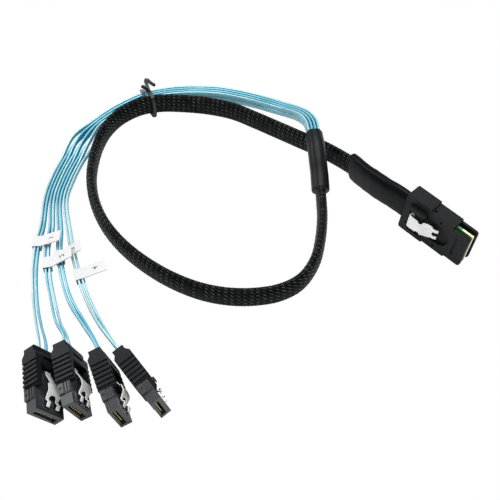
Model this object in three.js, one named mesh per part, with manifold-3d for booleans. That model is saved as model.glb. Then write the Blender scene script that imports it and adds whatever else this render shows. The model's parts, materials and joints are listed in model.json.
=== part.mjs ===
// A breakout cable: one wide host plug, a braided sleeve, and eight thin ribbons that fan out
// to four latching drive plugs. Millimetres, +Z up. The origin is the centre of the face that the
// host plug stands on, and +X points out of the host plug's mouth.
import * as THREE from 'three';
import { mergeVertices } from 'three/addons/utils/BufferGeometryUtils.js';
import Module from 'manifold-3d';

const wasm = await Module();
wasm.setup();

// Clearances
const SEAT = 0.3;             // gap between pieces that seat in each other

// Host plug: length along X, thickness along Y, width along Z
const HOST_BLOCK_LENGTH = 13;
const HOST_BODY_LENGTH = 12;
const HOST_NOSE_LENGTH = 8.5;
const HOST_WIDTH = 22;
const HOST_THICKNESS = 7.6;
const HOST_BODY_STEP = 1.1;   // how far the body is narrower than the block, each side
const HOST_NOSE_STEP = 1.1;   // how far the nose is narrower than the body, each side
const HOST_SEAM = 0.8;        // where the two shells meet, behind the middle plane
const HOST_PLATE = 1.3;       // wall of the two front plates
const HOST_WALL = 1.4;        // back, side and rear walls
const HOST_FRONT_WALL = 2.3;  // wall under the latch pocket
const POCKET_HALF_WIDTH = 5.6;
const POCKET_DEPTH = 1.6;
const POCKET_START = 3.5;     // from the rear face
const POCKET_END = 25;
const GUARD_LENGTH = 9.5;
const GUARD_THICKNESS = 1.2;
const GUARD_HEIGHT = 2.6;
const GUARD_START = 2.6;
const KEY_SLOT_WIDTH = 1.2;
const KEY_SLOT_LENGTH = 11;
const KEY_SLOT_DEPTH = 0.5;
const SNAP_HOLE = 1.3;
const CARD_THICKNESS = 1.0;
const CARD_SETBACK = 0.4;     // card edge behind the plates' front edge
const CARD_TAIL = 3.2;        // card's rear end, from the block's front face back
const PAD_COUNT = 18;
const PAD_PITCH = 0.8;
const PAD_WIDTH = 0.5;
const PAD_LENGTH = 4.6;
const PAD_HEIGHT = 0.06;
const HOST_LATCH_SHEET = 0.45;
const HOST_LATCH_WIDTH = 7.8;
const HOST_PAD_WIDTH = 6.8;
const HOST_PRONG_WIDTH = 1.6;
const HOST_PRONG_SPACING = 4.0;
const HOST_LATCH_ROOT = 5.4;  // from the rear face
const HOST_LATCH_END = 19.4;
const HOST_PAD_RISE = 3.2;    // top of the thumb pad above the front face

// Drive plug: length along X, latch side +Y, grip side +Z
const HOOD_LENGTH = 16;
const HOOD_THICKNESS = 7.2;
const HOOD_WIDTH = 15.2;
const HOOD_CORNER = 0.9;
const NECK_LENGTH = 2.4;
const NECK_THICKNESS = 4.8;
const SHOULDER_LENGTH = 1.6;
const GRIP_COUNT = 6;
const GRIP_START = 4.4;
const GRIP_PITCH = 2.05;
const GRIP_GROOVE = 0.85;
const GRIP_DEPTH = 0.6;
const WINDOW_START = 6;
const RAIL_GRIP_SIDE = 2.6;
const RAIL_FAR_SIDE = 1.9;
const CORE_START = 5;
const CORE_WIDTH = 11.4;
const CORE_BOTTOM = -2.4;
const CORE_TOP = 0.8;
const COLLAR_LENGTH = 4.6;
const COLLAR_WIDTH = 14.4;
const COLLAR_BOTTOM = -3.1;
const NOSE_LENGTH = 4.6;
const NOSE_WIDTH = 14;
const NOSE_BOTTOM = -2.8;
const NOSE_TOP = 1.9;
const SLOT_WIDTH = 10.8;
const SLOT_BOTTOM = -1.6;
const SLOT_TOP = 0.1;
const SLOT_DEPTH = 7.6;
const KEY_LEG = 0.6;
const KEY_LEG_WIDTH = 1.2;
const CONTACT_COUNT = 7;
const CONTACT_PITCH = 1.27;
const CONTACT_WIDTH = 0.7;
const CONTACT_THICKNESS = 0.4;
const CONTACT_SETBACK = 0.9;
const CARRIER_LENGTH = 1.6;
const LATCH_SHEET = 0.35;
const LATCH_OFFSET = -0.7;    // latch centre, towards the far side
const LATCH_ROOT = 6.8;
const LATCH_ROOT_WIDTH = 2.8;
const LATCH_PAD_WIDTH = 6.8;
const LATCH_PAD_RISE = 1.0;
const LATCH_PAD_START = 14.6;
const LATCH_PAD_END = 18.4;
const LATCH_LEG_WIDTH = 1.5;
const LATCH_LEG_SPACING = 4.8;
const LATCH_END = 23.4;
const LATCH_CHANNEL_DEPTH = 1.05;

// Where the host plug's rear block stands, and how far the plug leans forward on to its body's edge
const HOST_AT = [-1.9, -1.9];
const HOST_TILT = Math.atan2(HOST_BODY_STEP, HOST_BODY_LENGTH);

// Where the four drive plugs lie: [x, y, heading, roll], degrees
const DRIVE_POSES = [
  [-58.2, -164.3, -32.6, 34.7],
  [-52.5, -156.3, -28.5, 20.6],
  [-40.7, -149.1, -22.4, 14.3],
  [-35.0, -142.0, -8.0, 14.1],
];

// Cords
const SLEEVE_WIDTH = 11;
const SLEEVE_THICKNESS = 4.8;
const FLAT_SHRINK_WIDTH = 15;
const FLAT_SHRINK_THICKNESS = 5.2;
const ROUND_SHRINK_RADIUS = 4.25;
const RIBBON_WIDTH = 2.5;
const RIBBON_THICKNESS = 1.1;
const RIBBON_ENTRY = 1.9;       // a ribbon's distance from the plug's middle where it goes in
const TIE_WIRE = 1.3;
const TIE_STATION = 10;       // of the ribbons' route
const TIE_SLEEVE_OFFSET = 8.4; // from the ribbons' middle to the sleeve's middle
const LABEL_PAPER = 0.25;
const LABEL_WIDTH = 6;

const FLAT_SHRINK_START = [0.5, 4.5]; // behind the host plug's rear face
const FLAT_SHRINK_ROUTE = [
  [-20.5, -1.5, 12.0], [-32.5, 0.7, 9.9], [-44.2, 3.9, 7.9],
];
const SLEEVE_ROUTE = [
  [-44.8, 4.0, 7.84], [-53.5, 4.6, 6.9], [-62.6, 4.4, 6.2], [-75.8, 2.2, 5.8],
  [-90.8, -0.5, 5.6], [-103.5, -3, 5.6], [-116, -6, 5.6], [-128, -12.1, 5.6],
  [-138, -20.5, 6.2], [-145, -28.8, 7.2], [-150.6, -38.3, 7.2], [-153, -48.8, 6.1],
  [-151.1, -58.8, 5.6], [-145.6, -68.8, 5.6], [-136.6, -79.6, 5.6], [-126.7, -88.6, 5.6],
  [-114.6, -96.2, 5.6], [-101, -101.6, 5.6], [-87, -104.3, 5.6], [-72, -104.6, 5.6],
  [-55.6, -102.3, 5.6], [-41.5, -97.6, 5.6], [-31, -91.2, 5.6], [-23, -83.4, 5.6],
  [-17.2, -74.4, 5.6], [-15, -64.2, 5.6], [-18, -52, 5.6], [-24.7, -40.8, 5.6],
  [-33.4, -29.7, 5.7], [-39.2, -23.7, 6.3], [-43.4, -19.7, 7.7],
];
const ROUND_SHRINK_ROUTE = [
  [-43.75, -19.35, 7.85], [-49.3, -14.2, 10.6], [-54.6, -9.8, 13.9], [-59.8, -5.4, 16.4], [-65.8, -0.4, 17.3],
];
// The ribbons' common stretch: x, y, then the height of the lower row's centre
const BUNDLE_ROUTE = [
  [-66.35, 0.05, 15.9], [-72.5, 5.0, 15.2], [-80.5, 9.4, 12.2], [-89.5, 12.2, 8.2], [-99.5, 13.2, 4.4],
  [-110.5, 12.0, 2.1], [-122.5, 7.6, 1.5], [-134.5, 0.8, 1.5], [-145.5, -9.4, 1.6], [-152.2, -19.8, 2.4],
  [-156.2, -30.6, 3.2], [-158.6, -40.5, 2.6], [-159.9, -50.5, 1.6], [-158.8, -61.4, 1.5],
  [-154.2, -73.0, 1.5], [-147.7, -85.2, 1.6], [-140.4, -96.2, 1.6], [-132.2, -106.0, 1.6],
];
// Columns stand on edge, two ribbons high, until they open out side by side
const STACK_PITCH = 1.65;
const SPREAD_PITCH = 3.1;
const ROW_RISE = 2.85;
const SPREAD_FROM = 14;       // station where the columns stand at their full pitch
const PAIR_PITCH = 1.6;      // between the two ribbons of a leg
const LEG_ROUTES = [
  [[-122.0, -121.0, 1.6], [-114.4, -128.8, 2.2], [-102.7, -138.6, 2.2], [-88.1, -148.4, 2.4], [-75.5, -155.0, 5.4]],
  [[-117.6, -119.2, 1.6], [-109.0, -127.6, 2.2], [-96.0, -136.2, 1.9], [-82.3, -143.4, 2.6], [-69.8, -149.2, 5.6]],
  [[-114.0, -117.0, 1.6], [-104.2, -124.4, 2.2], [-91.9, -131.8, 2.0], [-77.8, -138.0, 2.8], [-60.6, -142.6, 6.2]],
  [[-110.6, -114.4, 1.6], [-99.8, -120.4, 2.2], [-84.6, -127.8, 2.2], [-70.4, -133.4, 3.0], [-56.0, -138.0, 6.2]],
];
// Labels: [leg, place along the pair, flag length, flag lift in degrees]
const LABELS = [[0, 1.0, 9, 22], [1, 1.6, 9.5, 26], [2, 1.3, 8, 30], [3, 1.9, 10, 8]];

// Colours, with roughness and metalness
const paint = (colour, roughness, metalness = 0) => ({ colour, roughness, metalness });
const PLASTIC = paint(0x16191a, 0.6);
const SOFT_BLACK = paint(0x111415, 0.75);
const NOSE_GREY = paint(0x24282c, 0.5);
const STEEL = paint(0xd6d4d0, 0.3, 0.9);
const GOLD = paint(0xd8b25a, 0.3, 0.9);
const BOARD = paint(0x2f7a3a, 0.45);
const BRAID = paint(0x141818, 0.8);
const SHRINK = paint(0x0f1315, 0.5);
const RIBBON_BLUE = paint(0x8fd3e8, 0.35);
const LABEL_WHITE = paint(0xf1f1f1, 0.8);

// Turns a closed geometry into a solid that can be joined and cut
function solid(geometry) {
  const bare = new THREE.BufferGeometry();
  bare.setAttribute('position', geometry.getAttribute('position'));
  if (geometry.index) bare.setIndex(geometry.index);
  const merged = mergeVertices(bare, 1e-5);
  const mesh = new wasm.Mesh({
    numProp: 3,
    vertProperties: new Float32Array(merged.attributes.position.array),
    triVerts: new Uint32Array(merged.index.array),
  });
  return new wasm.Manifold(mesh);
}

function geometryOf(body) {
  const mesh = body.getMesh();
  const geometry = new THREE.BufferGeometry();
  geometry.setAttribute('position', new THREE.BufferAttribute(new Float32Array(mesh.vertProperties), 3));
  geometry.setIndex(new THREE.BufferAttribute(new Uint32Array(mesh.triVerts), 1));
  geometry.computeVertexNormals();
  return geometry;
}

const join = (first, ...rest) => rest.reduce((sum, body) => sum.add(body), first);
const cut = (first, ...rest) => rest.reduce((sum, body) => sum.subtract(body), first);

// A block between two corners
function block([x0, x1], [y0, y1], [z0, z1]) {
  const geometry = new THREE.BoxGeometry(x1 - x0, y1 - y0, z1 - z0);
  geometry.translate((x0 + x1) / 2, (y0 + y1) / 2, (z0 + z1) / 2);
  return solid(geometry);
}

// An outline, either points or a THREE.Shape, extruded from one height to another
function prism(outline, from, to) {
  const shape = outline instanceof THREE.Shape
    ? outline
    : new THREE.Shape(outline.map(([a, b]) => new THREE.Vector2(a, b)));
  const geometry = new THREE.ExtrudeGeometry(shape, { depth: to - from, bevelEnabled: false, curveSegments: 5 });
  geometry.translate(0, 0, from);
  return geometry;
}

// The outline lies in X and Y, and the prism stands along Z
const prismAlongZ = (outline, z0, z1) => solid(prism(outline, z0, z1));

// The outline lies in X and Z, and the prism runs along Y from y0 to y1
function prismAlongY(outline, y0, y1) {
  const geometry = prism(outline, -y1, -y0);
  geometry.rotateX(Math.PI / 2);
  return solid(geometry);
}

function cylinderAlong(axis, radius, from, to, [u, v], sides = 12) {
  const geometry = new THREE.CylinderGeometry(radius, radius, to - from, sides);
  geometry.translate(0, (from + to) / 2, 0);
  if (axis === 'z') geometry.rotateX(Math.PI / 2);
  geometry.translate(u, 0, 0);
  geometry.translate(0, axis === 'z' ? v : 0, axis === 'y' ? v : 0);
  return solid(geometry);
}

// A rectangle with rounded corners, as a shape
function roundedRectangle(a0, a1, b0, b1, radius) {
  const shape = new THREE.Shape();
  shape.moveTo(a0 + radius, b0);
  shape.lineTo(a1 - radius, b0);
  shape.absarc(a1 - radius, b0 + radius, radius, -Math.PI / 2, 0);
  shape.lineTo(a1, b1 - radius);
  shape.absarc(a1 - radius, b1 - radius, radius, 0, Math.PI / 2);
  shape.lineTo(a0 + radius, b1);
  shape.absarc(a0 + radius, b1 - radius, radius, Math.PI / 2, Math.PI);
  shape.lineTo(a0, b0 + radius);
  shape.absarc(a0 + radius, b0 + radius, radius, Math.PI, 1.5 * Math.PI);
  return shape;
}

// A bent strip: its centre line lies in X and Y, and it gets its thickness from the normals
function bentStrip(line, sheet, z0, z1) {
  const points = line.map(([x, y]) => new THREE.Vector2(x, y));
  const side = (sign) => points.map((p, i) => {
    const before = points[Math.max(i - 1, 0)];
    const after = points[Math.min(i + 1, points.length - 1)];
    const along = after.clone().sub(before).normalize();
    return [p.x - sign * along.y * sheet / 2, p.y + sign * along.x * sheet / 2];
  });
  return prismAlongZ([...side(-1), ...side(1).reverse()], z0, z1);
}

function mesh(name, geometry, look) {
  const material = new THREE.MeshStandardMaterial({
    color: look.colour, roughness: look.roughness, metalness: look.metalness,
  });
  const node = new THREE.Mesh(geometry, material);
  node.name = name;
  return node;
}

// Host plug stations along X
const HOST_REAR = -HOST_BLOCK_LENGTH / 2;
const HOST_BLOCK_FRONT = HOST_REAR + HOST_BLOCK_LENGTH;
const HOST_BODY_FRONT = HOST_BLOCK_FRONT + HOST_BODY_LENGTH;
const HOST_FRONT = HOST_BODY_FRONT + HOST_NOSE_LENGTH;
const HOST_HALF = HOST_THICKNESS / 2;
const HOST_MID = HOST_WIDTH / 2;
const NOSE_HALF = HOST_MID - HOST_BODY_STEP - HOST_NOSE_STEP;
const MOUTH_HALF = HOST_MID - HOST_BODY_STEP - HOST_WALL;
const ENTRY_HALF_WIDTH = FLAT_SHRINK_WIDTH / 2 + 0.3;
const ENTRY_HALF_THICKNESS = 2.2;
const CAVITY_NEAR = -HOST_HALF + HOST_FRONT_WALL;
const CAVITY_BACK = HOST_HALF - HOST_WALL;

// Half of the housing, on one side of the middle plane
function hostHalf(y0, y1) {
  const plan = new THREE.Shape();
  const corner = 1.2;
  plan.moveTo(HOST_REAR + corner, 0);
  plan.lineTo(HOST_BLOCK_FRONT, 0);
  plan.lineTo(HOST_BLOCK_FRONT, HOST_BODY_STEP);
  plan.lineTo(HOST_BODY_FRONT, HOST_BODY_STEP);
  plan.lineTo(HOST_BODY_FRONT, HOST_WIDTH - HOST_BODY_STEP);
  plan.lineTo(HOST_BLOCK_FRONT, HOST_WIDTH - HOST_BODY_STEP);
  plan.lineTo(HOST_BLOCK_FRONT, HOST_WIDTH);
  plan.lineTo(HOST_REAR + corner, HOST_WIDTH);
  plan.absarc(HOST_REAR + corner, HOST_WIDTH - corner, corner, Math.PI / 2, Math.PI);
  plan.absarc(HOST_REAR + corner, corner, corner, Math.PI, 1.5 * Math.PI);
  return prismAlongY(plan, y0, y1);
}

function hostNosePlate(y0, y1) {
  const plan = roundedRectangle(HOST_BODY_FRONT - 4, HOST_FRONT, HOST_MID - NOSE_HALF, HOST_MID + NOSE_HALF, 1.5);
  return prismAlongY(plan, y0, y1);
}

// The hollow for the card and the inner mould, open at the middle plane and at the mouth
function hostCavity(y0, y1) {
  const inner = HOST_MID - HOST_WALL;
  const room = block([HOST_REAR + HOST_WALL, HOST_BLOCK_FRONT - HOST_WALL], [y0, y1], [HOST_MID - inner, HOST_MID + inner]);
  const mouth = block([HOST_REAR + HOST_WALL, HOST_FRONT + 1], [y0, y1], [HOST_MID - MOUTH_HALF, HOST_MID + MOUTH_HALF]);
  const entryNear = Math.max(y0, -ENTRY_HALF_THICKNESS);
  const entryBack = Math.min(y1, ENTRY_HALF_THICKNESS);
  const entry = block([HOST_REAR - 1, HOST_REAR + 2 * HOST_WALL], [entryNear, entryBack],
    [HOST_MID - ENTRY_HALF_WIDTH, HOST_MID + ENTRY_HALF_WIDTH]);
  return join(room, mouth, entry);
}

function latchPocket() {
  const shape = new THREE.Shape();
  const x0 = HOST_REAR + POCKET_START;
  const x1 = HOST_REAR + POCKET_END - POCKET_HALF_WIDTH;
  shape.moveTo(x0, HOST_MID - POCKET_HALF_WIDTH);
  shape.lineTo(x1, HOST_MID - POCKET_HALF_WIDTH);
  shape.absarc(x1, HOST_MID, POCKET_HALF_WIDTH, -Math.PI / 2, Math.PI / 2);
  shape.lineTo(x0, HOST_MID + POCKET_HALF_WIDTH);
  return prismAlongY(shape, -HOST_HALF - 1, -HOST_HALF + POCKET_DEPTH);
}

function guardRib(side) {
  const z = HOST_MID + side * (POCKET_HALF_WIDTH + GUARD_THICKNESS / 2);
  const x0 = HOST_REAR + GUARD_START;
  const top = -HOST_HALF - GUARD_HEIGHT;
  const profile = [
    [x0, -HOST_HALF + 0.5], [x0, -HOST_HALF], [x0 + 2.2, top + 0.3], [x0 + 3.4, top],
    [x0 + GUARD_LENGTH - 1.2, top], [x0 + GUARD_LENGTH, top + 1.1], [x0 + GUARD_LENGTH, -HOST_HALF + 0.5],
  ];
  return prismAlongZ(profile, z - GUARD_THICKNESS / 2, z + GUARD_THICKNESS / 2);
}

function snapHoles() {
  const x = HOST_BLOCK_FRONT + 1.2;
  const onTop = cylinderAlong('z', SNAP_HOLE / 2, HOST_WIDTH - 2 * HOST_WALL, HOST_WIDTH + 1, [x, -HOST_HALF / 2], 10);
  const below = cylinderAlong('z', SNAP_HOLE / 2, -1, 2 * HOST_WALL, [x, -HOST_HALF / 2], 10);
  const face = [-1, 1].map((side) => cylinderAlong('y', SNAP_HOLE / 2, -HOST_HALF - 1, -HOST_HALF + 1,
    [HOST_REAR + 18.9, HOST_MID + side * (HOST_MID - 3.4)], 10));
  return join(onTop, below, ...face);
}

function nearShell() {
  const key = block([HOST_FRONT - 5.9, HOST_FRONT - 5.9 + KEY_SLOT_WIDTH], [-HOST_HALF - 1, -HOST_HALF + KEY_SLOT_DEPTH],
    [HOST_MID + 0.6 - KEY_SLOT_LENGTH / 2, HOST_MID + 0.6 + KEY_SLOT_LENGTH / 2]);
  const rootSlot = block([HOST_REAR + HOST_LATCH_ROOT - 1.3, HOST_REAR + HOST_LATCH_ROOT + 0.5],
    [-HOST_HALF, CAVITY_NEAR + 1], [HOST_MID - 2.6, HOST_MID + 2.6]);
  return cut(
    join(hostHalf(-HOST_HALF, HOST_SEAM), hostNosePlate(-HOST_HALF, -HOST_HALF + HOST_PLATE), guardRib(-1), guardRib(1)),
    hostCavity(CAVITY_NEAR, HOST_SEAM + 1),
    block([HOST_BODY_FRONT, HOST_FRONT + 1], [-HOST_HALF + HOST_PLATE, HOST_SEAM + 1], [-1, HOST_WIDTH + 1]),
    latchPocket(), rootSlot, key, snapHoles(),
  );
}

function backShell() {
  return cut(
    join(hostHalf(HOST_SEAM, HOST_HALF), hostNosePlate(HOST_HALF - HOST_PLATE, HOST_HALF)),
    hostCavity(HOST_SEAM - 1, CAVITY_BACK),
    block([HOST_BODY_FRONT, HOST_FRONT + 1], [HOST_SEAM - 1, HOST_HALF - HOST_PLATE], [-1, HOST_WIDTH + 1]),
  );
}

const CARD_REAR = HOST_BLOCK_FRONT - CARD_TAIL;

function edgeCard() {
  const half = MOUTH_HALF - SEAT;
  const front = HOST_FRONT - CARD_SETBACK;
  const board = block([CARD_REAR, front], [-CARD_THICKNESS / 2, CARD_THICKNESS / 2], [HOST_MID - half, HOST_MID + half]);
  const pads = [];
  for (let i = 0; i < PAD_COUNT; i += 1) {
    const z = HOST_MID + (i - (PAD_COUNT - 1) / 2) * PAD_PITCH;
    pads.push(block([front - PAD_LENGTH - 0.4, front - 0.4],
      [-CARD_THICKNESS / 2 - PAD_HEIGHT, CARD_THICKNESS / 2 + PAD_HEIGHT], [z - PAD_WIDTH / 2, z + PAD_WIDTH / 2]));
  }
  return join(board, ...pads);
}

function innerMould() {
  const half = HOST_MID - HOST_WALL - SEAT;
  const bodyPart = block([HOST_REAR + HOST_WALL + SEAT, CARD_REAR - SEAT], [CAVITY_NEAR + SEAT, CAVITY_BACK - SEAT],
    [HOST_MID - half, HOST_MID + half]);
  const collar = block([HOST_REAR, HOST_REAR + 2 * HOST_WALL],
    [CAVITY_NEAR + SEAT, ENTRY_HALF_THICKNESS - SEAT],
    [HOST_MID - ENTRY_HALF_WIDTH + SEAT, HOST_MID + ENTRY_HALF_WIDTH - SEAT]);
  return join(bodyPart, collar);
}

// The host latch: a bent strip cut to its plan, wide thumb pad behind and two prongs in front
function hostLatch() {
  const root = HOST_REAR + HOST_LATCH_ROOT;
  const end = HOST_REAR + HOST_LATCH_END;
  const top = -HOST_HALF - HOST_PAD_RISE;
  const side = [
    [root, CAVITY_NEAR - 0.2], [root, -HOST_HALF], [root - 0.1, top + 0.5], [root + 0.5, top + 0.05],
    [root + 6, top], [root + 8.4, top + 1.5], [root + 10.6, top + 2.1], [end - 1.4, -HOST_HALF - 0.9],
    [end, -HOST_HALF - 0.2],
  ];
  const strip = bentStrip(side, HOST_LATCH_SHEET, HOST_MID - HOST_LATCH_WIDTH / 2, HOST_MID + HOST_LATCH_WIDTH / 2);
  const pad = HOST_PAD_WIDTH / 2;
  const ear = HOST_LATCH_WIDTH / 2;
  const outer = HOST_PRONG_SPACING / 2 + HOST_PRONG_WIDTH / 2;
  const inner = HOST_PRONG_SPACING / 2 - HOST_PRONG_WIDTH / 2;
  const half = [
    [root - 0.4, 2.2], [root + 0.4, 2.2], [root + 0.4, pad], [root + 4.4, pad], [root + 5.2, pad - 0.9],
    [root + 6.4, pad - 0.7], [root + 6.9, ear], [root + 8.8, ear], [root + 11, outer + 0.7],
    [root + 11.4, outer], [end + 1, outer], [end + 1, inner], [root + 12.2, inner], [root + 11.6, 0.6],
  ];
  const plan = [...half.map(([x, z]) => [x, HOST_MID + z]), ...half.map(([x, z]) => [x, HOST_MID - z]).reverse()];
  const tab = block([root - 1, root + 0.15], [-HOST_HALF - 0.4, CAVITY_NEAR], [HOST_MID - 2.2, HOST_MID + 2.2]);
  const outline = join(prismAlongY(plan, top - 2, CAVITY_NEAR + 1), tab);
  const upright = block([root - 1, root + 0.5], [top - 1, -HOST_HALF - 0.4], [HOST_MID - pad, HOST_MID + pad]);
  return strip.intersect(join(outline, upright));
}

// Drive plug stations along X
const HOOD_HALF = HOOD_THICKNESS / 2;
const COLLAR_START = HOOD_LENGTH + SEAT;
const NOSE_START = COLLAR_START + COLLAR_LENGTH;
const DRIVE_FRONT = NOSE_START + NOSE_LENGTH;

function hoodBlank() {
  const neck = NECK_THICKNESS / 2;
  const thickness = prismAlongZ([
    [-NECK_LENGTH, -neck], [0, -neck], [SHOULDER_LENGTH, -HOOD_HALF], [HOOD_LENGTH, -HOOD_HALF],
    [HOOD_LENGTH, HOOD_HALF], [SHOULDER_LENGTH, HOOD_HALF], [0, neck], [-NECK_LENGTH, neck],
  ], -HOOD_WIDTH, HOOD_WIDTH);
  const face = prismAlongY(roundedRectangle(-NECK_LENGTH, HOOD_LENGTH, -HOOD_WIDTH / 2, HOOD_WIDTH / 2, HOOD_CORNER),
    -HOOD_THICKNESS, HOOD_THICKNESS);
  return thickness.intersect(face);
}

function gripGrooves() {
  const grooves = [];
  for (let i = 0; i < GRIP_COUNT; i += 1) {
    const x = GRIP_START + i * GRIP_PITCH;
    for (const side of [-1, 1]) {
      const z = side * HOOD_WIDTH / 2;
      grooves.push(block([x, x + GRIP_GROOVE], [-HOOD_THICKNESS, HOOD_THICKNESS], [z - GRIP_DEPTH, z + GRIP_DEPTH]));
    }
  }
  return join(...grooves);
}

function driveHood() {
  const coreHalf = CORE_WIDTH / 2 + SEAT;
  const cavity = block([CORE_START, HOOD_LENGTH + 1], [CORE_BOTTOM - SEAT, CORE_TOP + SEAT], [-coreHalf, coreHalf]);
  const window = block([WINDOW_START, HOOD_LENGTH + 1], [CORE_TOP, HOOD_HALF + 1],
    [-HOOD_WIDTH / 2 + RAIL_FAR_SIDE, HOOD_WIDTH / 2 - RAIL_GRIP_SIDE]);
  const recess = prismAlongY(roundedRectangle(2.3, 3.7, -3.6, 3.6, 0.65), HOOD_HALF - 0.7, HOOD_HALF + 1);
  return cut(hoodBlank(), gripGrooves(), cavity, window, recess);
}

function driveReceptacle() {
  const core = block([CORE_START + SEAT, COLLAR_START + 0.5], [CORE_BOTTOM, CORE_TOP], [-CORE_WIDTH / 2, CORE_WIDTH / 2]);
  const collar = block([COLLAR_START, NOSE_START], [COLLAR_BOTTOM, NOSE_TOP], [-COLLAR_WIDTH / 2, COLLAR_WIDTH / 2]);
  const nose = block([NOSE_START - 0.5, DRIVE_FRONT], [NOSE_BOTTOM, NOSE_TOP], [-NOSE_WIDTH / 2, NOSE_WIDTH / 2]);
  const gripSide = COLLAR_WIDTH / 2;
  const pad = block([COLLAR_START, NOSE_START - 0.2], [COLLAR_BOTTOM, COLLAR_BOTTOM + 2.3], [gripSide - 0.5, gripSide + 0.5]);
  const ribs = [0.2, 1.3].map((y) => block([COLLAR_START, NOSE_START - 0.2], [y - 0.25, y + 0.25],
    [gripSide - 0.5, gripSide + 0.4]));
  const dimple = cylinderAlong('z', 0.65, gripSide + 0.15, gripSide + 1,
    [(COLLAR_START + NOSE_START) / 2, COLLAR_BOTTOM + 1.15], 10);
  const slotHalf = SLOT_WIDTH / 2;
  const slot = block([DRIVE_FRONT - SLOT_DEPTH, DRIVE_FRONT + 1], [SLOT_BOTTOM, SLOT_TOP], [-slotHalf, slotHalf]);
  const keyLeg = block([DRIVE_FRONT - SLOT_DEPTH, DRIVE_FRONT + 1], [SLOT_BOTTOM - KEY_LEG, SLOT_BOTTOM + 0.5],
    [-slotHalf, -slotHalf + KEY_LEG_WIDTH]);
  const channels = [-1, 1].map((side) => {
    const z = LATCH_OFFSET + side * LATCH_LEG_SPACING / 2;
    const half = LATCH_LEG_WIDTH / 2 + SEAT;
    return block([COLLAR_START - 1, DRIVE_FRONT - 1.6], [NOSE_TOP - LATCH_CHANNEL_DEPTH, NOSE_TOP + 1], [z - half, z + half]);
  });
  return cut(join(core, collar, nose, pad, ...ribs), dimple, slot, keyLeg, ...channels);
}

// The carrier sits at the slot's end, with the contacts lying along the slot's lower wall
function driveContacts() {
  const x0 = DRIVE_FRONT - SLOT_DEPTH + SEAT;
  const half = SLOT_WIDTH / 2 - SEAT;
  const low = SLOT_BOTTOM + SEAT;
  const bar = block([x0, x0 + CARRIER_LENGTH], [low, SLOT_TOP - SEAT], [-half, half]);
  const tongues = [];
  for (let i = 0; i < CONTACT_COUNT; i += 1) {
    const z = 0.4 + (i - (CONTACT_COUNT - 1) / 2) * CONTACT_PITCH;
    tongues.push(block([x0 + CARRIER_LENGTH - 0.3, DRIVE_FRONT - CONTACT_SETBACK], [low, low + CONTACT_THICKNESS],
      [z - CONTACT_WIDTH / 2, z + CONTACT_WIDTH / 2]));
  }
  return join(bar, ...tongues);
}

// The drive latch: root in the hood's window, thumb pad, then two legs with barbs along the nose
function driveLatch() {
  const base = CORE_TOP + SEAT + LATCH_SHEET / 2;
  const padTop = HOOD_HALF + LATCH_PAD_RISE;
  const legY = NOSE_TOP + 0.45 + LATCH_SHEET / 2;
  const side = [
    [LATCH_ROOT, base], [LATCH_ROOT + 1.4, base + 0.1], [LATCH_PAD_START - 1, padTop - 0.9], [LATCH_PAD_START, padTop - 0.2],
    [LATCH_PAD_END - 1.6, padTop - 0.1], [LATCH_PAD_END - 0.5, padTop - 0.5], [LATCH_PAD_END + 1.2, legY],
    [LATCH_END - 3, legY], [LATCH_END - 1.8, legY + 0.9], [LATCH_END, legY - 0.1],
  ];
  const half = LATCH_PAD_WIDTH / 2;
  const strip = bentStrip(side, LATCH_SHEET, LATCH_OFFSET - half, LATCH_OFFSET + half);
  const outer = LATCH_LEG_SPACING / 2 + LATCH_LEG_WIDTH / 2;
  const inner = LATCH_LEG_SPACING / 2 - LATCH_LEG_WIDTH / 2;
  const root = LATCH_ROOT_WIDTH / 2;
  const edge = [
    [LATCH_ROOT - 1, root], [LATCH_PAD_START - 2.4, root - 0.2], [LATCH_PAD_START - 1, root + 0.4],
    [LATCH_PAD_START - 0.1, half],
    [LATCH_PAD_END, half], [LATCH_PAD_END + 0.6, outer], [LATCH_END + 1, outer], [LATCH_END + 1, inner],
    [LATCH_PAD_END + 0.8, inner], [LATCH_PAD_END + 0.1, inner - 0.8],
  ];
  const plan = [...edge.map(([x, z]) => [x, LATCH_OFFSET + z]), ...edge.map(([x, z]) => [x, LATCH_OFFSET - z]).reverse()];
  return strip.intersect(prismAlongY(plan, -HOOD_THICKNESS, HOOD_THICKNESS));
}

// A drive plug's place: its lowest edge lies on the table
function drivePlace([x, y, heading, roll]) {
  const turn = THREE.MathUtils.degToRad(roll);
  const height = HOOD_WIDTH / 2 * Math.cos(turn) + HOOD_HALF * Math.sin(turn);
  const place = new THREE.Group();
  place.position.set(x, y, height);
  place.rotation.set(turn, 0, THREE.MathUtils.degToRad(heading), 'ZYX');
  place.updateMatrixWorld(true);
  return place;
}

const vectors = (route) => route.map(([x, y, z]) => new THREE.Vector3(x, y, z));

// A tube with a given section along a route; the section's first axis stands up, whichever way
// the curve's own frame starts
function cordGeometry(section, points, steps) {
  const path = new THREE.CatmullRomCurve3(points, false, 'centripetal');
  const upright = Math.abs(path.computeFrenetFrames(steps, false).normals[0].z) > Math.SQRT1_2;
  const shape = new THREE.Shape(section.map(([a, b]) => (upright ? new THREE.Vector2(a, b) : new THREE.Vector2(b, a))));
  return new THREE.ExtrudeGeometry(shape, { steps, extrudePath: path, bevelEnabled: false });
}

function ovalSection(height, width, sides, squareness = 1) {
  const points = [];
  for (let i = 0; i < sides; i += 1) {
    const angle = 2 * Math.PI * (i + 0.5) / sides;
    const c = Math.cos(angle);
    const s = Math.sin(angle);
    points.push([height / 2 * Math.sign(c) * Math.abs(c) ** squareness, width / 2 * Math.sign(s) * Math.abs(s) ** squareness]);
  }
  return points;
}

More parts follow.
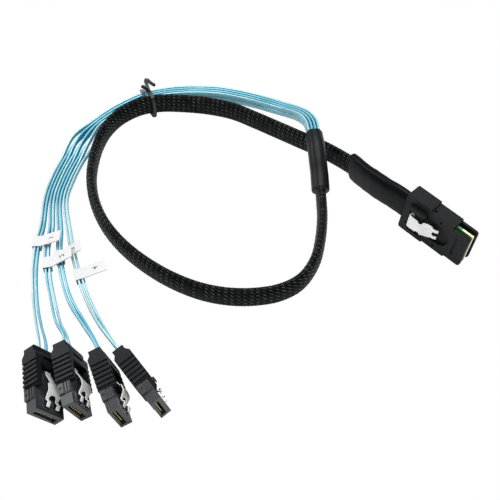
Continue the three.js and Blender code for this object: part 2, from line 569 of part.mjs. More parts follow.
// Two lobes side by side, with a shallow waist on each flat side
function ribbonSection() {
  const h = RIBBON_WIDTH / 2;
  const w = RIBBON_THICKNESS / 2;
  return [[h, 0.5 * w], [0.5 * h, w], [-0.5 * h, w], [-h, 0.5 * w], [-h, -0.5 * w], [-0.5 * h, -w], [0.5 * h, -w], [h, -0.5 * w]];
}

// Unit vector to the outer side of a flat route at one of its points
function outwardAt(route, i) {
  const before = route[Math.max(i - 1, 0)];
  const after = route[Math.min(i + 1, route.length - 1)];
  const dx = after[0] - before[0];
  const dy = after[1] - before[1];
  const length = Math.hypot(dx, dy);
  return [dy / length, -dx / length];
}

// The points of one ribbon: leg 0 to 3, upper 0 or 1
function ribbonPoints(leg, upper, place) {
  const points = [];
  const half = SPREAD_PITCH / 4;
  const side = upper ? 1 : -1;
  BUNDLE_ROUTE.forEach(([x, y, z], i) => {
    const [ox, oy] = outwardAt(BUNDLE_ROUTE, i);
    const spread = THREE.MathUtils.clamp(i - SPREAD_FROM + 1, 0, 1);
    const drop = THREE.MathUtils.clamp(i - SPREAD_FROM, 0, 1);
    const pitch = THREE.MathUtils.lerp(STACK_PITCH, SPREAD_PITCH, spread);
    const offset = (1.5 - leg) * pitch + side * half * spread;
    points.push([x + ox * offset, y + oy * offset, z + upper * ROW_RISE * (1 - drop)]);
  });
  const route = LEG_ROUTES[leg];
  route.forEach(([x, y, z], i) => {
    const [ox, oy] = outwardAt(route, i);
    const last = i === route.length - 1;
    const rise = last ? side * 1.3 : 0;
    points.push([x + ox * side * PAIR_PITCH / 2, y + oy * side * PAIR_PITCH / 2, z + rise]);
  });
  for (const back of [6, 0]) {
    const entry = new THREE.Vector3(-NECK_LENGTH - SEAT - back, 0, side * RIBBON_ENTRY);
    points.push(entry.applyMatrix4(place.matrixWorld).toArray());
  }
  return vectors(points);
}

// A label: a loop of paper round a ribbon pair, with its two ends stuck together as a flag
function labelGeometry(flag, lift) {
  const w = PAIR_PITCH / 2 + RIBBON_THICKNESS / 2 + SEAT;
  const h = RIBBON_WIDTH / 2 + SEAT;
  const t = LABEL_PAPER;
  const rise = flag * Math.tan(THREE.MathUtils.degToRad(lift));
  const outline = new THREE.Shape([
    [-w - t, -h - t], [w + t, -h - t], [w + t, h - t], [w + t + flag, h - t + rise], [w + t + flag, h + t + rise],
    [w, h + t], [-w - t, h + t],
  ].map(([a, b]) => new THREE.Vector2(a, b)));
  outline.holes.push(new THREE.Path([[-w, -h], [-w, h], [w, h], [w, -h]].map(([a, b]) => new THREE.Vector2(a, b))));
  const geometry = new THREE.ExtrudeGeometry(outline, { depth: LABEL_WIDTH, bevelEnabled: false });
  geometry.translate(0, 0, -LABEL_WIDTH / 2);
  return geometry;
}

function labelNode(index) {
  const [leg, along, flag, lift] = LABELS[index];
  const route = LEG_ROUTES[leg];
  const path = new THREE.CatmullRomCurve3(vectors(route), false, 'centripetal');
  const place = along / (route.length - 1);
  const forward = path.getTangent(place).setZ(0).normalize();
  const up = new THREE.Vector3(0, 0, 1);
  const inner = new THREE.Vector3().crossVectors(up, forward);
  const node = mesh(`label_${index + 1}`, labelGeometry(flag, lift), LABEL_WHITE);
  node.matrix.makeBasis(inner, up, new THREE.Vector3().crossVectors(inner, up));
  node.quaternion.setFromRotationMatrix(node.matrix);
  node.position.copy(path.getPoint(place));
  return node;
}

// The tie: a wire band round the sleeve and the ribbons, with a loop and a straight tail on top.
// Its plane has u to the outer side and v up; w runs along the cable.
function twistTie() {
  const [bx, by, bz] = BUNDLE_ROUTE[TIE_STATION];
  const [ox, oy] = outwardAt(BUNDLE_ROUTE, TIE_STATION);
  const inner = -TIE_SLEEVE_OFFSET - SLEEVE_THICKNESS / 2 - 2 * SEAT;
  const outer = 1.5 * STACK_PITCH + RIBBON_THICKNESS / 2 + 2 * SEAT;
  const low = bz - RIBBON_WIDTH / 2 - SEAT;
  const top = low + SLEEVE_WIDTH + 2 * SEAT;
  const ribbonTop = low + ROW_RISE + RIBBON_WIDTH + 2 * SEAT;
  const band = (grow) => [
    [inner - grow, low + 2.2], [inner - 0.7 * grow + 0.6, low - 0.7 * grow + 0.6], [inner + 2.2, low - grow],
    [outer - 1.2, low - grow], [outer + grow, low + 1.2], [outer + grow, ribbonTop - 0.8 + grow / 2],
    [inner + 5.6, top + grow], [inner + 2.2, top + grow], [inner - 0.7 * grow + 0.6, top + 0.7 * grow - 0.6],
    [inner - grow, top - 2.2],
  ];
  const ring = cut(prismAlongZ(band(TIE_WIRE), -TIE_WIRE / 2, TIE_WIRE / 2), prismAlongZ(band(0), -TIE_WIRE, TIE_WIRE));
  const wire = ovalSection(TIE_WIRE, TIE_WIRE, 8);
  const from = [inner + 4.4, top + TIE_WIRE / 2, 0];
  const loop = [from, [from[0] + 3, top + 2.2, 0.4], [from[0] + 7, top + 2.6, 1.2], [from[0] + 9.4, top + 1.2, 2.8],
    [from[0] + 7.4, top - 0.2, 4.2], [from[0] + 4.4, top + 0.6, 4.6]];
  const tail = [from, [from[0] + 0.4, top + 2.4, -0.8], [from[0] - 0.4, top + 4.6, -2], [from[0] - 1.4, top + 6.4, -3.6]];
  const body = join(ring, solid(cordGeometry(wire, vectors(loop), 12)), solid(cordGeometry(wire, vectors(tail), 6)));
  const node = mesh('twist_tie', geometryOf(body), SHRINK);
  node.matrix.makeBasis(new THREE.Vector3(ox, oy, 0), new THREE.Vector3(0, 0, 1), new THREE.Vector3(oy, -ox, 0));
  node.quaternion.setFromRotationMatrix(node.matrix);
  node.position.set(bx, by, 0);
  return node;
}

const group = new THREE.Group();

const hostPlace = new THREE.Group();
const hostPivot = new THREE.Vector3(HOST_BLOCK_FRONT, 0, 0);
hostPlace.rotation.y = HOST_TILT;
hostPlace.position.copy(hostPivot).sub(hostPivot.clone().applyEuler(hostPlace.rotation));
hostPlace.position.x += HOST_AT[0];
hostPlace.position.y += HOST_AT[1];
hostPlace.updateMatrixWorld(true);
group.add(hostPlace);
hostPlace.add(
  mesh('host_plug_near_shell', geometryOf(nearShell()), PLASTIC),
  mesh('host_plug_back_shell', geometryOf(backShell()), PLASTIC),
  mesh('host_plug_card', geometryOf(edgeCard()), BOARD),
  mesh('host_plug_inner_mould', geometryOf(innerMould()), SOFT_BLACK),
  mesh('host_plug_latch', geometryOf(hostLatch()), STEEL),
);

const flatSection = ovalSection(FLAT_SHRINK_WIDTH, FLAT_SHRINK_THICKNESS, 12, 0.7);
const shrinkStart = FLAT_SHRINK_START.map((back) => new THREE.Vector3(HOST_REAR - back, 0, HOST_MID)
  .applyMatrix4(hostPlace.matrixWorld));
group.add(
  mesh('flat_shrink', cordGeometry(flatSection, [...shrinkStart, ...vectors(FLAT_SHRINK_ROUTE)], 6), SHRINK),
  mesh('braided_sleeve', cordGeometry(ovalSection(SLEEVE_WIDTH, SLEEVE_THICKNESS, 12), vectors(SLEEVE_ROUTE), 42), BRAID),
  mesh('round_shrink', cordGeometry(ovalSection(2 * ROUND_SHRINK_RADIUS, 2 * ROUND_SHRINK_RADIUS, 12),
    vectors(ROUND_SHRINK_ROUTE), 5), SHRINK),
);

const hoodGeometry = geometryOf(driveHood());
const receptacleGeometry = geometryOf(driveReceptacle());
const contactGeometry = geometryOf(driveContacts());
const latchGeometry = geometryOf(driveLatch());

DRIVE_POSES.forEach((pose, leg) => {
  const number = leg + 1;
  const place = drivePlace(pose);
  place.add(
    mesh(`drive_plug_${number}_hood`, hoodGeometry, PLASTIC),
    mesh(`drive_plug_${number}_receptacle`, receptacleGeometry, NOSE_GREY),
    mesh(`drive_plug_${number}_contacts`, contactGeometry, GOLD),
    mesh(`drive_plug_${number}_latch`, latchGeometry, STEEL),
  );
  group.add(place);
  ['a', 'b'].forEach((letter, upper) => {
    const geometry = cordGeometry(ribbonSection(), ribbonPoints(leg, upper, place), 38);
    group.add(mesh(`ribbon_${number}${letter}`, geometry, RIBBON_BLUE));
  });
});

LABELS.forEach((_, index) => group.add(labelNode(index)));
group.add(twistTie());

// The frame's origin lies on the table, below the middle of all five plugs
const plugs = new THREE.Box3();
group.updateMatrixWorld(true);
group.traverse((part) => {
  if (part.isMesh && part.name.includes('plug')) plugs.expandByObject(part, true);
});
const middle = plugs.getCenter(new THREE.Vector3());
group.position.set(-middle.x, -middle.y, 0);
const cable = new THREE.Group();
cable.add(group);

export default cable;
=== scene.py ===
"""Looks of a breakout cable: two kinds of plugs, a braided sleeve and thin ribbons.

Lengths in the dataclasses are millimetres in the frame's own axes, and each mesh is
scaled to metres when it is made. Every mesh lies in the frame with its object at the origin.
"""

import json
import logging
import math
from dataclasses import dataclass, field
from enum import Enum

import bmesh
import bpy
import numpy as np
from mathutils import Matrix, Vector

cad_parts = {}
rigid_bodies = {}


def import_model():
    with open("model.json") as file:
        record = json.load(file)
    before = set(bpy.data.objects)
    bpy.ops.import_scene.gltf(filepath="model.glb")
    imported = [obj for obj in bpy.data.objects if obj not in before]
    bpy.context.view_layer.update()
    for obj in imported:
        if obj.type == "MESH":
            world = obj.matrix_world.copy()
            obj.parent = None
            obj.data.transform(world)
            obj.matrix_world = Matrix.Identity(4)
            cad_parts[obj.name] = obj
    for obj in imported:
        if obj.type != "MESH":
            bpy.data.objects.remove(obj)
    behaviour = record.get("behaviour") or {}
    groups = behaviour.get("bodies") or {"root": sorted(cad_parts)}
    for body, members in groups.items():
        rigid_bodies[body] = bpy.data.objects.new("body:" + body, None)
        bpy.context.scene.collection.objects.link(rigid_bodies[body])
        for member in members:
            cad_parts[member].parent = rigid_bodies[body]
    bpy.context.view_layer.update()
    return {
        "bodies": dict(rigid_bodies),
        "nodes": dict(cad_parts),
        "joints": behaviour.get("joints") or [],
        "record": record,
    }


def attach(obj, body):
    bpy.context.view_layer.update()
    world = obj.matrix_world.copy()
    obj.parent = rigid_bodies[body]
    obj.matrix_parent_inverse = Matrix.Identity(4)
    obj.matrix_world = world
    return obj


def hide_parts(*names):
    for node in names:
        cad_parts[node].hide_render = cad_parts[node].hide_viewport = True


LOG = logging.getLogger("cable")
MILLIMETRE = 0.001
BODY_CABLE = "cable"
ORIGIN_SHIFT = (18.35009, 90.71756, 0.0)  # from the points' own axes to the frame's, in millimetres
HOST_BODY_STEP = 1.1
HOST_BODY_LENGTH = 12.0
HOST_TILT = math.atan2(HOST_BODY_STEP, HOST_BODY_LENGTH)
HOST_BLOCK_FRONT = 6.5
HOST_BLOCK_REAR = -6.5
HOST_MIDDLE = 11.0
HOST_AT = Vector((-1.9, -1.9, 0))
LOADED: dict = {}
UV_SPAN = 60.0  # millimetres of a cord in one unit of its UV map
RIBBON_PITCH = 1.6
TIE_GROWTH = 0.28
RIBBON_THICKNESS = 1.1
RIBBON_HALF_WIDTH = 1.25


class Slot(Enum):
    """Material slots of the record."""

    HOST = "host_plastic"
    HOOD = "hood_plastic"
    RECEPTACLE = "receptacle_plastic"
    MOULD = "inner_mould"
    STEEL = "steel"
    GOLD = "gold"
    BOARD = "board"
    SHRINK = "shrink"
    BRAID = "braid"
    TIE = "tie_plastic"
    FILM = "ribbon_film"
    PAPER = "label_paper"


@dataclass(frozen=True)
class Finish:
    """A procedural finish: a base colour that drifts to a second one, with a grain in relief."""

    name: str
    colour: tuple[float, float, float]
    second: tuple[float, float, float]
    roughness: float
    roughness_drift: float = 0.08
    metallic: float = 0.0
    drift_scale: float = 120.0
    grain_scale: float = 2500.0
    grain_depth: float = 0.03
    coat: float = 0.0
    specular: float = 0.5
    stretch: tuple[float, float, float] = (1.0, 1.0, 1.0)

    def material(self) -> bpy.types.Material:
        """Make the material, or give the one already made.

        Returns:
            The Blender material of this finish.
        """
        made = bpy.data.materials.get(self.name)
        if made:
            return made
        material = bpy.data.materials.new(self.name)
        material.use_nodes = True
        tree = material.node_tree
        shader = tree.nodes["Principled BSDF"]
        place = tree.nodes.new("ShaderNodeTexCoord")
        stretch = tree.nodes.new("ShaderNodeMapping")
        stretch.inputs["Scale"].default_value = self.stretch
        tree.links.new(place.outputs["Object"], stretch.inputs["Vector"])
        drift = self._noise(tree, stretch, self.drift_scale, 4.0)
        grain = self._noise(tree, stretch, self.grain_scale, 3.0)
        mix = tree.nodes.new("ShaderNodeMix")
        mix.data_type = "RGBA"
        mix.inputs["A"].default_value = (*self.colour, 1.0)
        mix.inputs["B"].default_value = (*self.second, 1.0)
        tree.links.new(drift.outputs["Fac"], mix.inputs["Factor"])
        tree.links.new(mix.outputs["Result"], shader.inputs["Base Color"])
        rough = tree.nodes.new("ShaderNodeMapRange")
        rough.inputs["To Min"].default_value = self.roughness - self.roughness_drift
        rough.inputs["To Max"].default_value = self.roughness + self.roughness_drift
        tree.links.new(grain.outputs["Fac"], rough.inputs["Value"])
        tree.links.new(rough.outputs["Result"], shader.inputs["Roughness"])
        bump = tree.nodes.new("ShaderNodeBump")
        bump.inputs["Strength"].default_value = 0.6
        bump.inputs["Distance"].default_value = self.grain_depth * MILLIMETRE
        tree.links.new(grain.outputs["Fac"], bump.inputs["Height"])
        tree.links.new(bump.outputs["Normal"], shader.inputs["Normal"])
        shader.inputs["Metallic"].default_value = self.metallic
        shader.inputs["Coat Weight"].default_value = self.coat
        shader.inputs["Coat Roughness"].default_value = 0.2
        shader.inputs["Specular IOR Level"].default_value = self.specular
        return material

    @staticmethod
    def _noise(
        tree: bpy.types.NodeTree, source: bpy.types.Node, scale: float, detail: float
    ) -> bpy.types.Node:
        """Add a noise texture.

        Args:
            tree: The material's node tree.
            source: The node that gives the place.
            scale: Noise cells in a metre.
            detail: Octaves.

        Returns:
            The noise node.
        """
        noise = tree.nodes.new("ShaderNodeTexNoise")
        noise.inputs["Scale"].default_value = scale
        noise.inputs["Detail"].default_value = detail
        tree.links.new(source.outputs["Vector"], noise.inputs["Vector"])
        return noise


@dataclass(frozen=True)
class StrandFinish:
    """A finish for woven strands and films: lines run along the piece, from the UV map.

    On woven strands, V says how far a strand lies over the other hand, and the line colour is a painted
    glint: a painted highlight along each strand's middle, strongest on the raised crossings, with painted
    shade where a strand dips under.
    """

    name: str
    colour: tuple[float, float, float]
    line: tuple[float, float, float]
    lines_across: float
    line_share: float
    roughness: float
    metallic: float
    depth: float
    woven: bool = False
    specular: float = 0.5

    def material(self) -> bpy.types.Material:
        """Make the material, or give the one already made.

        Returns:
            The Blender material of this finish.
        """
        made = bpy.data.materials.get(self.name)
        if made:
            return made
        material = bpy.data.materials.new(self.name)
        material.use_nodes = True
        tree = material.node_tree
        shader = tree.nodes["Principled BSDF"]
        uv = tree.nodes.new("ShaderNodeUVMap")
        uv.uv_map = "UVMap"
        split = tree.nodes.new("ShaderNodeSeparateXYZ")
        tree.links.new(uv.outputs["UV"], split.inputs["Vector"])
        turns = tree.nodes.new("ShaderNodeMath")
        turns.operation = "MULTIPLY"
        turns.inputs[1].default_value = self.lines_across * 2 * math.pi
        tree.links.new(split.outputs["X"], turns.inputs[0])
        wave = tree.nodes.new("ShaderNodeMath")
        wave.operation = "COSINE"
        tree.links.new(turns.outputs["Value"], wave.inputs[0])
        share = tree.nodes.new("ShaderNodeMapRange")
        share.inputs["From Min"].default_value = 1 - 2 * self.line_share
        share.inputs["From Max"].default_value = 1.0
        tree.links.new(wave.outputs["Value"], share.inputs["Value"])
        amount = tree.nodes.new("ShaderNodeMath")
        amount.operation = "MULTIPLY"
        tree.links.new(share.outputs["Result"], amount.inputs[0])
        # On woven strands the lines' strength is the painted glint; on films it drifts along the piece.
        strength = self._glint(tree, split) if self.woven else self._drift(tree, uv)
        tree.links.new(strength, amount.inputs[1])
        mix = tree.nodes.new("ShaderNodeMix")
        mix.data_type = "RGBA"
        mix.inputs["A"].default_value = (*self.colour, 1.0)
        mix.inputs["B"].default_value = (*self.line, 1.0)
        tree.links.new(amount.outputs["Value"], mix.inputs["Factor"])
        tree.links.new(mix.outputs["Result"], shader.inputs["Base Color"])
        bump = tree.nodes.new("ShaderNodeBump")
        bump.inputs["Strength"].default_value = 0.7
        bump.inputs["Distance"].default_value = self.depth * MILLIMETRE
        tree.links.new(wave.outputs["Value"], bump.inputs["Height"])
        tree.links.new(bump.outputs["Normal"], shader.inputs["Normal"])
        shader.inputs["Roughness"].default_value = self.roughness
        shader.inputs["Metallic"].default_value = self.metallic
        shader.inputs["Specular IOR Level"].default_value = self.specular
        return material

    @staticmethod
    def _drift(tree: bpy.types.NodeTree, uv: bpy.types.Node) -> bpy.types.NodeSocket:
        """Vary how strong the lines are along a film.

        Args:
            tree: The material's node tree.
            uv: The node that gives the UV map.

        Returns:
            The socket with the lines' strength.
        """
        drift = tree.nodes.new("ShaderNodeTexNoise")
        drift.inputs["Scale"].default_value = 5.0
        drift.inputs["Detail"].default_value = 3.0
        tree.links.new(uv.outputs["UV"], drift.inputs["Vector"])
        return drift.outputs["Fac"]

    @staticmethod
    def _glint(tree: bpy.types.NodeTree, split: bpy.types.Node) -> bpy.types.NodeSocket:
        """Vary the painted glint on the crossings from place to place.

        Args:
            tree: The material's node tree.
            split: The node that gives the UV map's parts.

        Returns:
            The socket with the crossings' painted glint.
        """
        place = tree.nodes.new("ShaderNodeTexCoord")
        patch = tree.nodes.new("ShaderNodeTexNoise")
        patch.inputs["Scale"].default_value = 260.0
        patch.inputs["Detail"].default_value = 3.0
        tree.links.new(place.outputs["Object"], patch.inputs["Vector"])
        reach = tree.nodes.new("ShaderNodeMapRange")
        reach.inputs["From Min"].default_value = 0.35
        reach.inputs["From Max"].default_value = 0.7
        reach.inputs["To Min"].default_value = 0.25
        reach.inputs["To Max"].default_value = 1.6
        tree.links.new(patch.outputs["Fac"], reach.inputs["Value"])
        product = tree.nodes.new("ShaderNodeMath")
        product.operation = "MULTIPLY"
        tree.links.new(split.outputs["Y"], product.inputs[0])
        tree.links.new(reach.outputs["Result"], product.inputs[1])
        return product.outputs["Value"]


HOST_PLASTIC = Finish("Host plastic", (0.0045, 0.0058, 0.0062), (0.007, 0.009, 0.0095), 0.5,
                      specular=0.14)
HOOD_PLASTIC = Finish("Hood plastic", (0.0048, 0.006, 0.0068), (0.008, 0.0095, 0.0105), 0.46,
                      specular=0.15)
NOSE_PLASTIC = Finish("Nose plastic", (0.018, 0.021, 0.0245), (0.028, 0.032, 0.037), 0.34, specular=0.4)
DULL_MOULD = Finish("Dull mould", (0.004, 0.0045, 0.005), (0.007, 0.0075, 0.008), 0.75, specular=0.15)
# The drive latches' near-white base colour is a painted reflection of the white studio on the polished
# steel, not the steel's own colour.
SPRING_STEEL_PAINTED_REFLECTION = Finish("Spring steel painted reflection", (0.93, 0.92, 0.91), (0.98, 0.98, 0.97), 0.3, metallic=0.3,
                      grain_depth=0.006, stretch=(1.0, 1.0, 6.0))
LATCH_STEEL = Finish("Latch steel", (0.66, 0.655, 0.65), (0.74, 0.735, 0.73), 0.36, metallic=0.1,
                     grain_depth=0.006, stretch=(1.0, 1.0, 6.0))
GOLD_PLATE = Finish("Gold plate", (0.83, 0.6, 0.24), (0.93, 0.72, 0.34), 0.25, metallic=0.95,
                    grain_depth=0.004)
PALE_GOLD = Finish("Pale gold", (0.75, 0.66, 0.42), (0.85, 0.77, 0.55), 0.4, metallic=0.3,
                   grain_depth=0.004)
GREEN_BOARD = Finish("Green board", (0.03, 0.22, 0.07), (0.05, 0.3, 0.1), 0.35, coat=0.4)
SHRINK_TUBE = Finish("Shrink tube", (0.0018, 0.003, 0.0033), (0.004, 0.006, 0.0065), 0.4,
                     drift_scale=60.0, grain_scale=900.0, grain_depth=0.015, specular=0.16)
FLAT_TUBE = Finish("Flat shrink tube", (0.001, 0.002, 0.0022), (0.003, 0.0045, 0.005), 0.36,
                   drift_scale=60.0, grain_scale=700.0, grain_depth=0.02, specular=0.09)
TIE_PLASTIC = Finish("Tie plastic", (0.0035, 0.005, 0.0055), (0.008, 0.0095, 0.01), 0.34, specular=0.3)
LABEL_PAPER = Finish("Label paper", (0.53, 0.54, 0.55), (0.61, 0.61, 0.62), 0.8,
                     grain_depth=0.02, specular=0.2)
LABEL_INK = Finish("Label ink", (0.03, 0.03, 0.035), (0.05, 0.05, 0.055), 0.7)
SLEEVE_CORE = Finish("Sleeve core", (0.002, 0.003, 0.003), (0.004, 0.005, 0.005), 0.8, specular=0.1)
# The two braid finishes are lit and shaded copies of one strand: the bright line colour is a painted glint
# on one hand of strands, the dim one is painted shade on the other.
BRAID_PAINTED_GLINT = StrandFinish("Braid strand painted glint", (0.0008, 0.0014, 0.0014), (0.11, 0.13, 0.127),
                            lines_across=1.0, line_share=0.3, roughness=0.4, metallic=0.0,
                            depth=0.03, woven=True, specular=0.06)
BRAID_PAINTED_SHADE = StrandFinish("Braid strand painted shade", (0.0008, 0.0014, 0.0014), (0.012, 0.015, 0.0148),
                         lines_across=1.0, line_share=0.3, roughness=0.4, metallic=0.0,
                         depth=0.03, woven=True, specular=0.06)
RIBBON_FILM = StrandFinish("Ribbon film", (0.035, 0.3, 0.43), (0.36, 0.72, 0.82),
                           lines_across=2.0, line_share=0.6, roughness=0.28, metallic=0.2, depth=0.03)
PALE_FILM = StrandFinish("Pale ribbon film", (0.15, 0.42, 0.5), (0.6, 0.8, 0.85),
                         lines_across=2.0, line_share=0.6, roughness=0.28, metallic=0.25, depth=0.03)
PALE_RIBBONS = ("ribbon_4a", "ribbon_4b", "ribbon_2a", "ribbon_1b")


def make_piece(
    name: str,
    vertices: np.ndarray,
    faces: list,
    finish: Finish | StrandFinish,
    body: str = BODY_CABLE,
    uv: np.ndarray | None = None,
    smooth: bool = True,
) -> bpy.types.Object:
    """Make a mesh piece that rides a body.

    Args:
        name: The piece's name.
        vertices: Corners in millimetres, in the frame's axes.
        faces: Corner numbers of each face.
        finish: The piece's finish.
        body: The CAD body that it rides.
        uv: One pair a corner, spread on to the faces.
        smooth: Whether faces are shaded smooth.

    Returns:
        The new object.
    """
    mesh = bpy.data.meshes.new(name)
    mesh.from_pydata(np.asarray(vertices) * MILLIMETRE, [], faces)
    if uv is not None:
        layer = mesh.uv_layers.new(name="UVMap")
        corner = np.zeros(len(mesh.loops), np.int32)
        mesh.loops.foreach_get("vertex_index", corner)
        layer.data.foreach_set("uv", np.asarray(uv, np.float32)[corner].ravel())
    mesh.polygons.foreach_set("use_smooth", np.full(len(mesh.polygons), smooth))
    mesh.materials.append(finish.material())
    mesh.update()
    piece = bpy.data.objects.new(name, mesh)
    bpy.context.collection.objects.link(piece)
    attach(piece, body)
    LOG.info("%s: %d faces", name, len(mesh.polygons))
    return piece


@dataclass
class Route:
    """A smooth line through points, with a level side direction and an upright one."""

    points: list[tuple[float, float, float]]
    step: float = 1.0
    line: np.ndarray = field(init=False)
    along: np.ndarray = field(init=False)
    ahead: np.ndarray = field(init=False)
    side: np.ndarray = field(init=False)
    upright: np.ndarray = field(init=False)

    def __post_init__(self) -> None:
        """Sample the line evenly and work out its directions."""
        fine = self._catmull_rom(np.array(self.points, float) + ORIGIN_SHIFT, 24)
        lengths = np.concatenate([[0], np.cumsum(np.linalg.norm(np.diff(fine, axis=0), axis=1))])
        count = max(int(lengths[-1] / self.step), 4) + 1
        self.along = np.linspace(0, lengths[-1], count)
        self.line = np.stack([np.interp(self.along, lengths, fine[:, k]) for k in range(3)], axis=1)
        ahead = np.gradient(self.line, axis=0)
        self.ahead = ahead / np.linalg.norm(ahead, axis=1, keepdims=True)
        side = np.cross(self.ahead, [0.0, 0.0, 1.0])
        self.side = side / np.linalg.norm(side, axis=1, keepdims=True)
        self.upright = np.cross(self.side, self.ahead)

    @property
    def length(self) -> float:
        """The line's length in millimetres."""
        return float(self.along[-1])

    @staticmethod
    def _catmull_rom(points: np.ndarray, each: int) -> np.ndarray:
        """A centripetal curve through the points.

        Args:
            points: The points, in order.
            each: Samples in each span.

        Returns:
            The curve's samples.
        """
        ends = np.vstack([2 * points[0] - points[1], points, 2 * points[-1] - points[-2]])
        knots = np.sqrt(np.linalg.norm(np.diff(ends, axis=0), axis=1))
        share = np.linspace(0, 1, each, endpoint=False)[:, None]
        spans = []
        for i in range(1, len(points)):
            p0, p1, p2, p3 = ends[i - 1 : i + 3]
            k0, k1, k2 = knots[i - 1 : i + 2]
            start = ((p1 - p0) / k0 - (p2 - p0) / (k0 + k1) + (p2 - p1) / k1) * k1
            end = ((p2 - p1) / k1 - (p3 - p1) / (k1 + k2) + (p3 - p2) / k2) * k1
            spans.append(
                (2 * share**3 - 3 * share**2 + 1) * p1 + (share**3 - 2 * share**2 + share) * start
                + (3 * share**2 - 2 * share**3) * p2 + (share**3 - share**2) * end
            )
        return np.vstack([*spans, points[-1:]])

    def tube(
        self, section: np.ndarray, swell: np.ndarray | None = None
    ) -> tuple[np.ndarray, list, np.ndarray]:
        """Sweep a closed section along the line.

        Args:
            section: Pairs of side and upright offsets.
            swell: How much the section is enlarged at each station.

        Returns:
            Corners, faces and UV pairs: across from 0 to 1, and along in units of UV_SPAN.
        """
        stations, corners = len(self.line), len(section)
        scale = np.ones(stations) if swell is None else swell
        offset = section[None, :, :] * scale[:, None, None]
        vertices = (
            self.line[:, None, :]
            + offset[:, :, :1] * self.side[:, None, :]
            + offset[:, :, 1:] * self.upright[:, None, :]
        )
        across = np.linspace(0, 1, corners, endpoint=False)[None, :]
        across = np.broadcast_to(across, (stations, corners))
        along = np.broadcast_to(self.along[:, None] / UV_SPAN, (stations, corners))
        uv = np.stack([across, along], axis=2).reshape(-1, 2)
        i, j = np.meshgrid(np.arange(stations - 1), np.arange(corners), indexing="ij")
        k = (j + 1) % corners
        near, far = i * corners, (i + 1) * corners
        quads = np.stack([near + j, near + k, far + k, far + j], axis=2)
        ends = [list(range(corners))[::-1], list(range((stations - 1) * corners, stations * corners))]
        return vertices.reshape(-1, 3), quads.reshape(-1, 4).tolist() + ends, uv


def oval(side: float, upright: float, corners: int, squareness: float = 1.0) -> np.ndarray:
    """A closed oval section.

    Args:
        side: Full size to the side.
        upright: Full height.
        corners: Number of corners.
        squareness: 1 for an ellipse, smaller for a fuller shape.

    Returns:
        Pairs of side and upright offsets.
    """
    angle = 2 * np.pi * (np.arange(corners) + 0.5) / corners
    c, s = np.cos(angle), np.sin(angle)
    across = side / 2 * np.sign(c) * np.abs(c) ** squareness
    up = upright / 2 * np.sign(s) * np.abs(s) ** squareness
    return np.stack([across, up], axis=1)


def dressed_copy(node: str, finish: Finish, body: str, rounding: float) -> bpy.types.Object:
    """Copy a CAD piece, clean its flat faces and round its edges.

    Args:
        node: The CAD node's name.
        finish: The copy's finish.
        body: The CAD body that it rides.
        rounding: Edge radius in millimetres.

    Returns:
        The copy, which stands for the CAD node.
    """
    source = LOADED["nodes"][node]
    work = bmesh.new()
    work.from_mesh(source.data)
    bmesh.ops.remove_doubles(work, verts=work.verts, dist=2e-6)
    bmesh.ops.dissolve_limit(work, angle_limit=math.radians(1.0), verts=work.verts, edges=work.edges)
    mesh = bpy.data.meshes.new(f"{node}_look")
    work.to_mesh(mesh)
    work.free()
    mesh.materials.append(finish.material())
    mesh.polygons.foreach_set("use_smooth", np.full(len(mesh.polygons), True))
    piece = bpy.data.objects.new(f"{node}_look", mesh)
    bpy.context.collection.objects.link(piece)
    bevel = piece.modifiers.new("Rounded edges", "BEVEL")
    bevel.width = rounding * MILLIMETRE
    bevel.segments = 2
    bevel.limit_method = "ANGLE"
    bevel.angle_limit = math.radians(28)
    weighted = piece.modifiers.new("Flat faces", "WEIGHTED_NORMAL")
    weighted.keep_sharp = True
    weighted.weight = 100
    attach(piece, body)
    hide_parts(node)
    LOG.info("%s: dressed copy, %d faces", node, len(mesh.polygons))
    return piece


def thicken(piece: bpy.types.Object, growth: float) -> None:
    """Grow a piece outwards, but not through the table.

    Args:
        piece: The piece.
        growth: How far its surface moves, in millimetres.
    """
    for corner in piece.data.vertices:
        corner.co += corner.normal * growth * MILLIMETRE
        corner.co.z = max(corner.co.z, 0.0)


def host_place() -> Matrix:
    """The host plug's placement: it leans forward on to its body's lower edge.

    Returns:
        A matrix in millimetres from the plug's own axes to the points' axes.
    """
    pivot = Vector((HOST_BLOCK_FRONT, 0, 0))
    lean = Matrix.Rotation(HOST_TILT, 4, "Y")
    return Matrix.Translation(pivot + HOST_AT) @ lean @ Matrix.Translation(-pivot)


FLAT_SHRINK_ROUTE = [
    *[tuple(host_place() @ Vector((HOST_BLOCK_REAR - back, 0, HOST_MIDDLE))) for back in (0.5, 4.5)],
    (-20.5, -1.5, 12.0), (-32.5, 0.7, 9.9), (-44.2, 3.9, 7.9),
]
SLEEVE_ROUTE = [
    (-44.8, 4.0, 7.84), (-53.5, 4.6, 6.9), (-62.6, 4.4, 6.2), (-75.8, 2.2, 5.8), (-90.8, -0.5, 5.6),
    (-103.5, -3, 5.6), (-116, -6, 5.6), (-128, -12.1, 5.6), (-138, -20.5, 6.2), (-145, -28.8, 7.2),
    (-150.6, -38.3, 7.2), (-153, -48.8, 6.1), (-151.1, -58.8, 5.6), (-145.6, -68.8, 5.6),
    (-136.6, -79.6, 5.6), (-126.7, -88.6, 5.6), (-114.6, -96.2, 5.6), (-101, -101.6, 5.6),
    (-87, -104.3, 5.6), (-72, -104.6, 5.6), (-55.6, -102.3, 5.6), (-41.5, -97.6, 5.6),
    (-31, -91.2, 5.6), (-23, -83.4, 5.6), (-17.2, -74.4, 5.6), (-15, -64.2, 5.6), (-18, -52, 5.6),
    (-24.7, -40.8, 5.6), (-33.4, -29.7, 5.7), (-39.2, -23.7, 6.3), (-43.4, -19.7, 7.7),
]
ROUND_SHRINK_ROUTE = [
    (-43.75, -19.35, 7.85), (-49.3, -14.2, 10.6), (-54.6, -9.8, 13.9), (-59.8, -5.4, 16.4),
    (-65.8, -0.4, 17.3),
]
